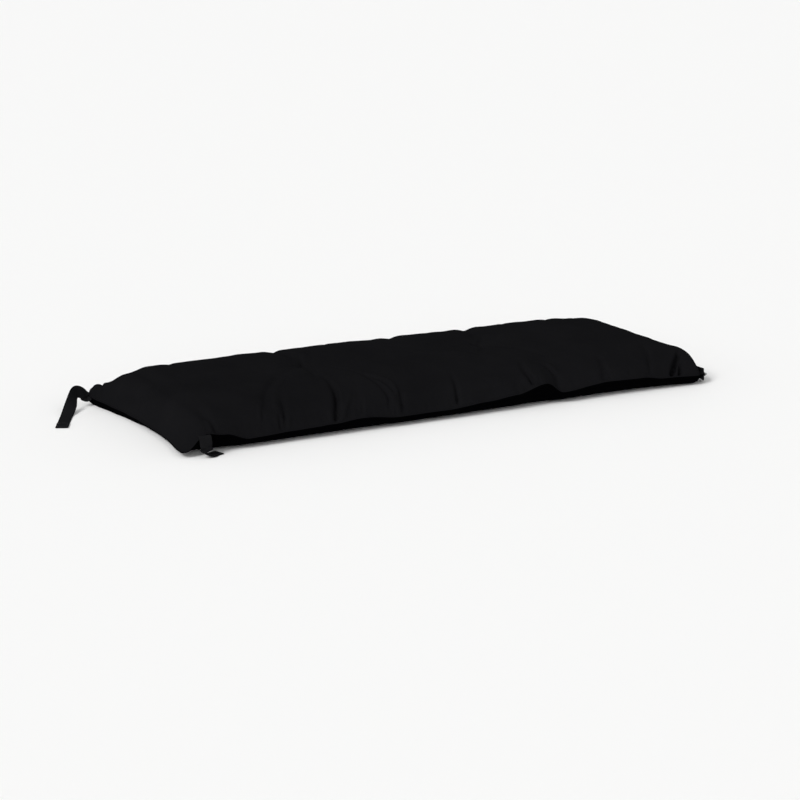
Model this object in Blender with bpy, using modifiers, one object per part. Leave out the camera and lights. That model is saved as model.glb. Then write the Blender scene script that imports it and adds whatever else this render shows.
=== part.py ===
"""A filled bench cushion with a tie at each corner.

Two woven panels are sewn face to face along one edge seam, filled, and pulled together by two tufts.
Units are metres and +Z is up. +X runs along the length, and the front edge is at -Y.
The origin is the middle of the flat underside.
"""

from collections import namedtuple

import bmesh
import bpy
import numpy as np
from mathutils import Vector

# The cover, from ear to ear
LENGTH = 1.200
DEPTH = 0.480
FRONT_LEFT_SHORT = 0.024  # how far each front ear is pushed in
FRONT_RIGHT_SHORT = 0.020
LEFT_DRAW_IN = 0.024  # how far an end or a side pulls in between its ears
RIGHT_DRAW_IN = 0.004
SIDE_DRAW_IN = 0.009
SIDE_POWER = 8.0  # a higher one keeps the long sides straight for longer
EAR_BLUNT = 0.007  # how much the turned corner is short of a sharp one
EAR_END_POWER = 60.0  # higher ones keep the blunting closer to the corner
EAR_SIDE_POWER = 24.0

# The filling. A higher power is a squarer section.
END_POWER = 18.0
FRONT_POWER = 3.4
REAR_POWER = 5.0
RISE_POWER = 0.52
CONTACT_GAIN = 1.45  # a higher one brings the flat underside closer to the seam
CONTACT_POWER = 1.5

# Corners that are fuller than the rest, each at one end of u and of v. A higher reach
# keeps the fullness closer to its corner.
FullCorner = namedtuple("FullCorner", "u v end_power side_power end_reach side_reach")
FULL_CORNERS = (
    FullCorner(1, -1, 100.0, 8.0, 4.0, 12.0),
    FullCorner(-1, 1, 120.0, 10.0, 1.0, 20.0),
)

# The heights of the seam and of the crown at sections along the length. The rear left
# holds less filling than the rest.
Section = namedtuple("Section", "x front_seam front_crown rear_crown rear_seam")
SECTIONS = (
    Section(-0.600, 0.008, 0.072, 0.066, 0.018),
    Section(-0.565, 0.012, 0.070, 0.053, 0.015),
    Section(-0.520, 0.041, 0.079, 0.073, 0.018),
    Section(-0.480, 0.035, 0.083, 0.084, 0.022),
    Section(-0.430, 0.020, 0.085, 0.085, 0.024),
    Section(-0.330, 0.023, 0.085, 0.085, 0.025),
    Section(-0.250, 0.025, 0.085, 0.085, 0.026),
    Section(-0.190, 0.029, 0.083, 0.083, 0.028),
    Section(-0.110, 0.021, 0.084, 0.084, 0.026),
    Section(0.000, 0.021, 0.082, 0.082, 0.024),
    Section(0.080, 0.026, 0.081, 0.081, 0.024),
    Section(0.150, 0.032, 0.079, 0.079, 0.026),
    Section(0.215, 0.047, 0.078, 0.078, 0.028),
    Section(0.255, 0.024, 0.078, 0.078, 0.026),
    Section(0.360, 0.033, 0.079, 0.078, 0.024),
    Section(0.440, 0.031, 0.079, 0.076, 0.023),
    Section(0.490, 0.024, 0.078, 0.072, 0.022),
    Section(0.600, 0.020, 0.080, 0.054, 0.018),
)

# The tufts, which draw both panels in
Tuft = namedtuple("Tuft", "x y")
TUFTS = (Tuft(-0.204, 0.022), Tuft(0.196, 0.020))
TUFT_DEPTH = 0.016
TUFT_RADIUS = 0.024
TUFT_POWER = 1.2
UNDER_TUFT_DEPTH = 0.008
UNDER_TUFT_CUT = 0.2  # share of the funnel's reach that the underside doesn't follow

# The folds of the top panel: soft troughs in plan, from start past bend to end
Fold = namedtuple("Fold", "start bend end width start_depth end_depth")
FOLDS = (
    # between the tufts, and beyond them
    Fold((-0.20, 0.02), (0.00, -0.045), (0.19, 0.02), 0.024, 0.005, 0.005),
    Fold((-0.21, 0.02), (-0.26, 0.015), (-0.31, -0.01), 0.014, 0.006, 0.001),
    Fold((0.20, 0.02), (0.28, 0.03), (0.36, 0.02), 0.022, 0.006, 0.001),
    # from the tufts to the rear edge
    Fold((-0.20, 0.03), (-0.20, 0.13), (-0.205, 0.235), 0.018, 0.004, 0.010),
    Fold((-0.19, 0.03), (-0.16, 0.07), (-0.14, 0.14), 0.012, 0.005, 0.001),
    Fold((0.19, 0.03), (0.15, 0.07), (0.10, 0.11), 0.014, 0.005, 0.001),
    Fold((0.20, 0.03), (0.23, 0.12), (0.25, 0.235), 0.020, 0.004, 0.008),
    # from the tufts towards the front edge
    Fold((-0.22, 0.00), (-0.32, -0.05), (-0.37, -0.18), 0.016, 0.005, 0.002),
    Fold((-0.20, 0.00), (-0.21, -0.05), (-0.24, -0.13), 0.014, 0.005, 0.001),
    Fold((-0.19, 0.00), (-0.12, -0.06), (-0.12, -0.235), 0.007, 0.002, 0.004),
    Fold((0.19, 0.00), (0.17, -0.03), (0.15, -0.07), 0.012, 0.005, 0.001),
    Fold((0.21, 0.00), (0.25, -0.05), (0.27, -0.12), 0.014, 0.004, 0.001),
    # up from the front seam, left to right
    Fold((-0.50, -0.14), (-0.51, -0.18), (-0.50, -0.235), 0.012, 0.001, 0.005),
    Fold((-0.33, -0.16), (-0.35, -0.20), (-0.352, -0.235), 0.009, 0.002, 0.006),
    Fold((-0.21, -0.08), (-0.21, -0.17), (-0.252, -0.235), 0.008, 0.001, 0.013),
    Fold((-0.18, -0.18), (-0.19, -0.21), (-0.195, -0.235), 0.008, 0.001, 0.003),
    Fold((-0.09, -0.19), (-0.10, -0.21), (-0.10, -0.235), 0.010, 0.001, 0.004),
    Fold((0.04, -0.13), (0.03, -0.19), (0.012, -0.235), 0.008, 0.001, 0.010),
    Fold((0.20, -0.15), (0.18, -0.20), (0.198, -0.235), 0.008, 0.002, 0.010),
    Fold((0.23, -0.15), (0.265, -0.19), (0.24, -0.235), 0.009, 0.002, 0.005),
    Fold((0.37, -0.17), (0.36, -0.21), (0.352, -0.235), 0.009, 0.002, 0.005),
    Fold((0.49, -0.15), (0.475, -0.20), (0.455, -0.235), 0.010, 0.002, 0.004),
    Fold((0.56, -0.15), (0.535, -0.20), (0.503, -0.240), 0.009, 0.002, 0.014),
    Fold((0.57, -0.19), (0.55, -0.22), (0.530, -0.240), 0.008, 0.002, 0.008),
    # in from the rear seam
    Fold((-0.43, 0.13), (-0.44, 0.18), (-0.44, 0.235), 0.014, 0.001, 0.004),
    Fold((0.06, 0.10), (0.06, 0.17), (0.066, 0.235), 0.018, 0.001, 0.006),
    Fold((0.43, 0.12), (0.44, 0.18), (0.43, 0.235), 0.014, 0.001, 0.004),
    # in from the two ends
    Fold((-0.57, 0.15), (-0.572, 0.08), (-0.565, 0.00), 0.008, 0.002, 0.006),
    Fold((-0.50, 0.04), (-0.53, 0.02), (-0.575, 0.00), 0.009, 0.001, 0.006),
    Fold((-0.50, -0.04), (-0.54, -0.05), (-0.575, -0.08), 0.009, 0.001, 0.006),
    Fold((-0.51, 0.17), (-0.55, 0.20), (-0.585, 0.225), 0.012, 0.001, 0.006),
    Fold((0.50, -0.06), (0.55, -0.07), (0.595, -0.08), 0.010, 0.001, 0.005),
    Fold((0.50, 0.05), (0.55, 0.05), (0.595, 0.06), 0.010, 0.001, 0.005),
    Fold((0.49, 0.16), (0.54, 0.19), (0.590, 0.220), 0.012, 0.001, 0.006),
)
FOLD_STEPS = 10  # straight runs that stand for each fold's curve
FOLD_SHOULDER = 0.6  # how high the shoulders beside a trough stand
FOLD_LIMIT = 0.6  # a fold never cuts deeper than this share of what is there
FOLD_FADE = 4.0  # a higher one lets the folds run closer to the seam

# The lip: next to the seam the top panel flares out before it climbs
LIP_WIDTH = 0.012
LIP_SHARE = 0.60

# Mesh of each panel
COLUMNS = 240
ROWS = 96
EDGE_CROWDING = 0.30  # draws the columns and rows towards the seam
KEPT_SHARE = 0.095  # share of the triangles left once flat places are thinned

# The ties: flat bands sewn into the seam, whose free ends are folded back once
BAND_WIDTH = 0.025
BAND_THICKNESS = 0.002
HEM_LENGTH = 0.033
HEM_THICKNESS = 0.003
SEAM_GAP = 0.0003  # between a band's sewn end and the seam
SEAM_SEARCH = 0.08  # how far each way along the seam its bow is read, in panel units
SEAM_POINTS = 41
CLEAR_WIDTH = 1.1 * BAND_WIDTH  # the stretch of seam that a sewn end clears
SEWN_RUN = 0.004  # each tie leaves the seam level for this far
BAND_STEPS = 5  # straight runs between two stations

# A route's stations: how far out from the seam and to the left, the height of the band's
# underside over the floor, and how far its left edge is turned up, in degrees
Station = namedtuple("Station", "out left height bank")
LONG_ROUTE = (
    Station(0.012, -0.001, 0.022, -32),
    Station(0.024, 0.003, 0.032, -58),
    Station(0.036, 0.016, 0.030, -56),
    Station(0.049, 0.036, 0.016, -32),
    Station(0.066, 0.060, 0.002, -6),
    Station(0.086, 0.099, 0.000, 0),
    Station(0.105, 0.139, 0.000, 0),
)
DROPPED_ROUTE = (
    Station(0.007, 0.000, 0.031, 0),
    Station(0.009, 0.000, 0.020, 0),
    Station(0.010, 0.002, 0.010, 0),
    Station(0.007, 0.009, 0.003, 0),
    Station(0.000, 0.019, 0.000, 0),
    Station(-0.004, 0.031, 0.000, 0),
)
EDGEWAYS_ROUTE = (
    Station(0.006, 0.000, 0.0175, 50),
    Station(0.0085, 0.004, 0.015, 80),
    Station(0.0095, 0.016, 0.014, 86),
    Station(0.011, 0.034, 0.0135, 82),
    Station(0.014, 0.052, 0.009, 44),
    Station(0.018, 0.070, 0.002, 8),
    Station(0.021, 0.086, 0.000, 0),
    Station(0.023, 0.101, 0.000, 0),
)

# Where each tie is sewn in, as a panel point on the seam, and the way it leaves, in degrees from +X
Tie = namedtuple("Tie", "name u v heading route")
TIES = (
    Tie("strap_rear_left", -1.0, 0.90, 180, LONG_ROUTE),
    Tie("strap_rear_right", 0.93, 1.0, 90, LONG_ROUTE),
    Tie("strap_front_left", -0.913, -1.0, -90, DROPPED_ROUTE),
    Tie("strap_front_right", 1.0, -0.90, 0, EDGEWAYS_ROUTE),
)

BLACK = (0.012, 0.012, 0.014, 1.0)


def clear_scene():
    for old in list(bpy.data.objects):
        bpy.data.objects.remove(old, do_unlink=True)


def cloth(name, color, roughness):
    material = bpy.data.materials.new(name)
    material.use_nodes = True
    shader = material.node_tree.nodes["Principled BSDF"]
    shader.inputs["Base Color"].default_value = color
    shader.inputs["Roughness"].default_value = roughness
    shader.inputs["Metallic"].default_value = 0.0
    return material


def eased(x, knots, values):
    """Read a table between its rows with an even, rounded change."""
    knots = np.asarray(knots)
    values = np.asarray(values)
    row = np.clip(np.searchsorted(knots, x) - 1, 0, len(knots) - 2)
    share = np.clip((x - knots[row]) / (knots[row + 1] - knots[row]), 0, 1)
    share = share * share * (3 - 2 * share)
    return values[row] * (1 - share) + values[row + 1] * share


def crowded(t):
    """Move even steps from -1 to 1 towards both ends."""
    return t * (1 + EDGE_CROWDING * (1 - t * t))


def plan(u, v):
    """Where a panel point lies in plan, u and v running from -1 to 1."""
    near_front = (1 - v) / 2
    left = -LENGTH / 2 + FRONT_LEFT_SHORT * near_front + LEFT_DRAW_IN * (1 - v * v)
    right = LENGTH / 2 - FRONT_RIGHT_SHORT * near_front**3 - RIGHT_DRAW_IN * (1 - v * v)
    half_depth = DEPTH / 2 - SIDE_DRAW_IN * (1 - np.abs(u) ** SIDE_POWER)
    ear = np.abs(u) ** EAR_END_POWER * np.abs(v) ** EAR_SIDE_POWER
    x = left + (right - left) * (1 + u) / 2 - np.sign(u) * EAR_BLUNT * ear
    y = v * half_depth - np.sign(v) * EAR_BLUNT * ear
    return x, y


def section_height(u, v, line):
    """The height of the seam or the crown, blended from the front to the rear."""
    x, _ = plan(u, v)
    knots = [section.x for section in SECTIONS]
    front = eased(x, knots, [getattr(section, f"front_{line}") for section in SECTIONS])
    rear = eased(x, knots, [getattr(section, f"rear_{line}") for section in SECTIONS])
    return front + (rear - front) * (1 + v) / 2


def rise(u, v):
    """How full the section is, from 0 at the seam to 1 in the middle."""
    end_power = END_POWER
    side_power = np.where(v < 0, FRONT_POWER, REAR_POWER)
    for corner in FULL_CORNERS:
        along_u = np.clip(u * corner.u, 0, 1)
        along_v = np.clip(v * corner.v, 0, 1)
        near_side = (along_u > 0) * along_v**corner.end_reach
        near_end = (along_v > 0) * along_u**corner.side_reach
        end_power = end_power + (corner.end_power - END_POWER) * near_side
        side_power = side_power + (corner.side_power - side_power) * near_end
    along = 1 - np.abs(u) ** end_power
    across = 1 - np.abs(v) ** side_power
    return (along * across) ** RISE_POWER


def tuft(x, y):
    """The funnel that each tuft draws, 1 at its middle."""
    funnel = np.zeros_like(x)
    for knot in TUFTS:
        away = np.hypot(x - knot.x, y - knot.y) / TUFT_RADIUS
        funnel = np.maximum(funnel, np.exp(-(away**TUFT_POWER)))
    return funnel


def fold(x, y, row):
    """The depth of one fold at each point: a trough between two low shoulders."""
    start, bend, end = (np.array(point) for point in (row.start, row.bend, row.end))
    nearest = np.full(x.shape, np.inf)
    along = np.zeros(x.shape)
    t = np.linspace(0, 1, FOLD_STEPS + 1)[:, None]
    route = (1 - t) ** 2 * start + 2 * t * (1 - t) * bend + t * t * end
    for step, (a, b) in enumerate(zip(route[:-1], route[1:])):
        run = b - a
        share = np.clip(((x - a[0]) * run[0] + (y - a[1]) * run[1]) / (run @ run), 0, 1)
        away = np.hypot(x - a[0] - share * run[0], y - a[1] - share * run[1])
        closer = away < nearest
        along = np.where(closer, (step + share) / FOLD_STEPS, along)
        nearest = np.where(closer, away, nearest)
    spread = (nearest / row.width) ** 2
    depth = row.start_depth + (row.end_depth - row.start_depth) * along
    return depth * (1 - FOLD_SHOULDER * spread) * np.exp(-spread)


def lip(u, v):
    """How much of the rise the panel has next to the seam, where it flares out."""
    inset = np.minimum((1 - np.abs(u)) * LENGTH / 2, (1 - np.abs(v)) * DEPTH / 2)
    return 1 - LIP_SHARE * np.exp(-((inset / LIP_WIDTH) ** 2))


def top_height(u, v):
    x, y = plan(u, v)
    seam = section_height(u, v, "seam")
    full = rise(u, v) * lip(u, v)
    room = (section_height(u, v, "crown") - seam) * full
    relief = TUFT_DEPTH * tuft(x, y) + sum(fold(x, y, row) for row in FOLDS)
    relief = np.minimum(relief, FOLD_LIMIT * room)
    return seam + room - relief * np.clip(full * FOLD_FADE, 0, 1)


def underside_height(u, v):
    x, y = plan(u, v)
    lifted = np.clip(1 - CONTACT_GAIN * rise(u, v), 0, 1) ** CONTACT_POWER
    dimple = np.clip((tuft(x, y) - UNDER_TUFT_CUT) / (1 - UNDER_TUFT_CUT), 0, 1)
    return section_height(u, v, "seam") * lifted + UNDER_TUFT_DEPTH * dimple


def panel(body, height):
    """Add a grid to the body and lay it on a height function."""
    made = bmesh.ops.create_grid(body, x_segments=COLUMNS, y_segments=ROWS, size=1)
    corners = made["verts"]
    u = crowded(np.array([corner.co.x for corner in corners]))
    v = crowded(np.array([corner.co.y for corner in corners]))
    u = np.clip(u, -1, 1)
    v = np.clip(v, -1, 1)
    x, y = plan(u, v)
    z = height(u, v)
    for corner, place in zip(corners, zip(x, y, z)):
        corner.co = place
    return corners


def cushion(material):
    body = bmesh.new()
    panel(body, top_height)
    panel(body, underside_height)
    bmesh.ops.remove_doubles(body, verts=body.verts, dist=0.00001)
    bmesh.ops.recalc_face_normals(body, faces=body.faces)
    mesh = bpy.data.meshes.new("cushion")
    body.to_mesh(mesh)
    body.free()
    mesh.shade_smooth()
    mesh.materials.append(material)
    made = bpy.data.objects.new("cushion", mesh)
    thin = made.modifiers.new("fewer faces where it is flat", "DECIMATE")
    thin.ratio = KEPT_SHARE
    return made


def smooth_route(points):
    """Points along a smooth curve through every given point, each a row of numbers."""
    ends = [2 * points[0] - points[1], *points, 2 * points[-1] - points[-2]]
    curve = []
    for before, a, b, after in zip(ends, ends[1:], ends[2:], ends[3:]):
        for t in np.arange(BAND_STEPS) / BAND_STEPS:
            curve.append(
                0.5
                * (
                    2 * a
                    + (b - before) * t
                    + (2 * before - 5 * a + 4 * b - after) * t**2
                    + (3 * a - before - 3 * b + after) * t**3
                )
            )
    curve.append(points[-1])
    return np.array(curve)


def outward(tie):
    """The way a tie leaves the seam, in plan."""
    heading = np.radians(tie.heading)
    return np.array([np.cos(heading), np.sin(heading)])


def tie_stations(tie):
    """The route's points in the world, the sewn end first: x, y, height and bank."""
    near = np.linspace(-SEAM_SEARCH, SEAM_SEARCH, SEAM_POINTS)
    on_side = abs(tie.v) == 1
    u = np.clip(tie.u + near * on_side, -1, 1)
    v = np.clip(tie.v + near * (not on_side), -1, 1)
    seam = np.column_stack(plan(u, v))
    middle = len(near) // 2
    out = outward(tie)
    left = np.array([-out[1], out[0]])
    # the sewn end clears the seam over the band's whole width
    beside = np.abs((seam - seam[middle]) @ left) < CLEAR_WIDTH / 2
    bow = ((seam - seam[middle]) @ out)[beside].max()
    root = seam[middle] + (bow + SEAM_GAP) * out
    root_z = section_height(u, v, "seam")[middle] - BAND_THICKNESS / 2
    rows = [np.array([*(root + run * out), root_z, 0.0]) for run in (0, SEWN_RUN)]
    for station in tie.route:
        place = root + station.out * out + station.left * left
        rows.append(np.array([*place, station.height, np.radians(station.bank)]))
    return rows


def tie_band(tie, material):
    """A band on its route: its underside as an open strip, thickened upwards."""
    route = smooth_route(tie_stations(tie))
    places = [Vector(row[:3]) for row in route]
    lengths = np.cumsum([0.0] + [(b - a).length for a, b in zip(places, places[1:])])
    body = bmesh.new()
    previous = None
    for step, (place, bank) in enumerate(zip(places, route[:, 3])):
        ahead = places[min(step + 1, len(places) - 1)] - places[max(step - 1, 0)]
        if step == 0:
            ahead = Vector((*outward(tie), 0))
        level = Vector((-ahead.y, ahead.x, 0)).normalized()
        upward = ahead.normalized().cross(level)
        across = (level * np.cos(bank) + upward * np.sin(bank)) * BAND_WIDTH / 2
        place.z = max(place.z, abs(across.z))
        pair = [body.verts.new(place + across), body.verts.new(place - across)]
        if previous:
            body.faces.new([previous[0], previous[1], pair[1], pair[0]])
        previous = pair
    mesh = bpy.data.meshes.new(tie.name)
    body.to_mesh(mesh)
    body.free()
    mesh.materials.append(material)
    made = bpy.data.objects.new(tie.name, mesh)
    # each pair of points has its share of the hem's thickness
    share = made.vertex_groups.new(name="thickness")
    for step, length in enumerate(lengths):
        in_hem = length > lengths[-1] - HEM_LENGTH
        thickness = HEM_THICKNESS if in_hem else BAND_THICKNESS
        share.add([2 * step, 2 * step + 1], thickness / HEM_THICKNESS, "REPLACE")
    thick = made.modifiers.new("thickness", "SOLIDIFY")
    thick.thickness = HEM_THICKNESS
    thick.offset = 1.0
    thick.vertex_group = share.name
    return made


def main():
    clear_scene()
    collection = bpy.data.collections.new("bench cushion")
    bpy.context.scene.collection.children.link(collection)
    cover = cloth("black woven cloth", BLACK, 0.92)
    collection.objects.link(cushion(cover))
    for tie in TIES:
        band = cloth(f"black band of {tie.name}", BLACK, 0.88)
        collection.objects.link(tie_band(tie, band))


main()
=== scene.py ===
"""The looks of a filled bench cushion with a tie at each corner.

The cover is laid out again from the solid's own sizes, on a finer grid, and gets its seam, gathers,
creases and weave. Units are metres, +Z is up, +X runs along the length and the front edge is at -Y.
"""

from collections import namedtuple

import bmesh
import bpy
import numpy as np
from mathutils import Matrix, Vector


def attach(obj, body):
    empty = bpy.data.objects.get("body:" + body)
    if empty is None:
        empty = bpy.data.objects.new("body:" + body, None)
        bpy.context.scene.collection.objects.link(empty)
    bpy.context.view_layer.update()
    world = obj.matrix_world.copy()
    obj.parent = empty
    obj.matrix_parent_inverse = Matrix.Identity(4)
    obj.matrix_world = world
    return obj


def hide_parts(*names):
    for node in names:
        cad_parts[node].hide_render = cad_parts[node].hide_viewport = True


# The cover, from ear to ear, as in the solid
LENGTH = 1.200
DEPTH = 0.480
FRONT_LEFT_SHORT = 0.024  # how far each front ear is pushed in
FRONT_RIGHT_SHORT = 0.020
LEFT_DRAW_IN = 0.024  # how far an end or a side pulls in between its ears
RIGHT_DRAW_IN = 0.004
SIDE_DRAW_IN = 0.009
SIDE_POWER = 8.0  # a higher one keeps the long sides straight for longer
EAR_BLUNT = 0.007  # how much the turned corner is short of a sharp one
EAR_END_POWER = 60.0  # higher ones keep the blunting closer to the corner
EAR_SIDE_POWER = 24.0

# The filling, as in the solid. A higher power is a squarer section.
END_POWER = 18.0
FRONT_POWER = 3.4
REAR_POWER = 5.0
RISE_POWER = 0.52
CONTACT_GAIN = 1.45  # a higher one brings the flat underside closer to the seam
CONTACT_POWER = 1.5

# Corners that are fuller than the rest, each at one end of u and of v. A higher reach
# keeps the fullness closer to its corner.
FullCorner = namedtuple("FullCorner", "u v end_power side_power end_reach side_reach")
FULL_CORNERS = (
    FullCorner(1, -1, 100.0, 8.0, 4.0, 12.0),
    FullCorner(-1, 1, 120.0, 10.0, 1.0, 20.0),
)

# The heights of the seam and of the crown at sections along the length
Section = namedtuple("Section", "x front_seam front_crown rear_crown rear_seam")
SECTIONS = (
    Section(-0.600, 0.008, 0.072, 0.066, 0.018),
    Section(-0.565, 0.012, 0.070, 0.053, 0.015),
    Section(-0.520, 0.041, 0.079, 0.073, 0.018),
    Section(-0.480, 0.035, 0.083, 0.084, 0.022),
    Section(-0.430, 0.020, 0.085, 0.085, 0.024),
    Section(-0.330, 0.023, 0.085, 0.085, 0.025),
    Section(-0.250, 0.025, 0.085, 0.085, 0.026),
    Section(-0.190, 0.029, 0.083, 0.083, 0.028),
    Section(-0.110, 0.021, 0.084, 0.084, 0.026),
    Section(0.000, 0.021, 0.082, 0.082, 0.024),
    Section(0.080, 0.026, 0.081, 0.081, 0.024),
    Section(0.150, 0.032, 0.079, 0.079, 0.026),
    Section(0.215, 0.047, 0.078, 0.078, 0.028),
    Section(0.255, 0.024, 0.078, 0.078, 0.026),
    Section(0.360, 0.033, 0.079, 0.078, 0.024),
    Section(0.440, 0.031, 0.079, 0.076, 0.023),
    Section(0.490, 0.024, 0.078, 0.072, 0.022),
    Section(0.600, 0.020, 0.080, 0.054, 0.018),
)

# The tufts, smaller and shallower than the solid's on top
Tuft = namedtuple("Tuft", "x y")
TUFTS = (Tuft(-0.204, 0.022), Tuft(0.196, 0.020))
TUFT_DEPTH = 0.010
TUFT_RADIUS = 0.017
TUFT_POWER = 1.2
UNDER_TUFT_DEPTH = 0.008
UNDER_TUFT_CUT = 0.2  # share of the funnel's reach that the underside doesn't follow

# The folds of the top panel: soft troughs in plan, from start past bend to end. They are near
# the solid's own, shallower round the tufts and sharper at the front.
Fold = namedtuple("Fold", "start bend end width start_depth end_depth")
FOLDS = (
    # between the tufts, and beyond them
    Fold((-0.20, 0.02), (0.00, -0.045), (0.19, 0.02), 0.024, 0.0015, 0.0015),
    Fold((-0.21, 0.02), (-0.26, 0.015), (-0.31, -0.01), 0.012, 0.003, 0.001),
    Fold((0.20, 0.02), (0.28, 0.03), (0.36, 0.02), 0.020, 0.003, 0.001),
    # from the tufts to the rear edge
    Fold((-0.20, 0.03), (-0.20, 0.13), (-0.205, 0.235), 0.016, 0.002, 0.009),
    Fold((-0.19, 0.03), (-0.16, 0.07), (-0.14, 0.14), 0.012, 0.0025, 0.001),
    Fold((0.19, 0.03), (0.15, 0.07), (0.10, 0.11), 0.012, 0.0025, 0.001),
    Fold((0.20, 0.03), (0.23, 0.12), (0.25, 0.235), 0.018, 0.002, 0.007),
    # from the tufts towards the front edge
    Fold((-0.22, 0.00), (-0.32, -0.05), (-0.37, -0.18), 0.014, 0.0025, 0.002),
    Fold((-0.20, 0.00), (-0.21, -0.05), (-0.24, -0.13), 0.012, 0.0025, 0.001),
    Fold((-0.19, 0.00), (-0.12, -0.06), (-0.12, -0.235), 0.007, 0.002, 0.004),
    Fold((0.19, 0.00), (0.17, -0.03), (0.15, -0.07), 0.012, 0.0025, 0.001),
    Fold((0.21, 0.00), (0.25, -0.05), (0.27, -0.12), 0.012, 0.002, 0.001),
    # up from the front seam, left to right
    Fold((-0.50, -0.14), (-0.51, -0.18), (-0.50, -0.235), 0.012, 0.001, 0.005),
    Fold((-0.33, -0.16), (-0.35, -0.20), (-0.352, -0.235), 0.009, 0.002, 0.006),
    Fold((-0.21, -0.08), (-0.21, -0.17), (-0.252, -0.235), 0.008, 0.001, 0.013),
    Fold((-0.18, -0.18), (-0.19, -0.21), (-0.195, -0.235), 0.008, 0.001, 0.003),
    Fold((-0.09, -0.19), (-0.10, -0.21), (-0.10, -0.235), 0.010, 0.001, 0.004),
    Fold((0.04, -0.15), (0.03, -0.195), (0.019, -0.222), 0.007, 0.001, 0.006),
    Fold((0.20, -0.15), (0.18, -0.20), (0.198, -0.235), 0.008, 0.002, 0.010),
    Fold((0.23, -0.15), (0.265, -0.19), (0.24, -0.235), 0.009, 0.002, 0.005),
    Fold((0.37, -0.17), (0.36, -0.21), (0.352, -0.235), 0.009, 0.002, 0.005),
    Fold((0.49, -0.15), (0.475, -0.20), (0.455, -0.235), 0.010, 0.002, 0.004),
    Fold((0.548, -0.192), (0.528, -0.214), (0.505, -0.236), 0.007, 0.004, 0.014),
    Fold((0.540, -0.217), (0.532, -0.226), (0.521, -0.238), 0.006, 0.004, 0.010),
    # in from the rear seam
    Fold((-0.43, 0.13), (-0.44, 0.18), (-0.44, 0.235), 0.014, 0.001, 0.004),
    Fold((0.06, 0.10), (0.06, 0.17), (0.066, 0.235), 0.018, 0.001, 0.006),
    Fold((0.43, 0.12), (0.44, 0.18), (0.43, 0.235), 0.014, 0.001, 0.004),
    # in from the two ends
    Fold((-0.57, 0.15), (-0.572, 0.08), (-0.565, 0.00), 0.006, 0.001, 0.004),
    Fold((-0.50, 0.04), (-0.53, 0.02), (-0.575, 0.00), 0.006, 0.001, 0.004),
    Fold((-0.50, -0.04), (-0.54, -0.05), (-0.575, -0.08), 0.006, 0.001, 0.004),
    Fold((-0.51, 0.17), (-0.55, 0.20), (-0.585, 0.225), 0.012, 0.001, 0.006),
    Fold((0.50, -0.06), (0.55, -0.07), (0.595, -0.08), 0.010, 0.001, 0.005),
    Fold((0.50, 0.05), (0.55, 0.05), (0.595, 0.06), 0.010, 0.001, 0.005),
    Fold((0.49, 0.16), (0.54, 0.19), (0.590, 0.220), 0.012, 0.001, 0.006),
)
FOLD_STEPS = 10  # straight runs that stand for each fold's curve
FOLD_SPAN = 3.5  # past this many widths from its line a fold is flat
FOLD_SHOULDER = 0.6  # how high the shoulders beside a trough stand
FOLD_LIMIT = 0.6  # a fold never cuts deeper than this share of what is there
FOLD_FADE = 4.0  # a higher one lets the folds run closer to the seam

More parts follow.
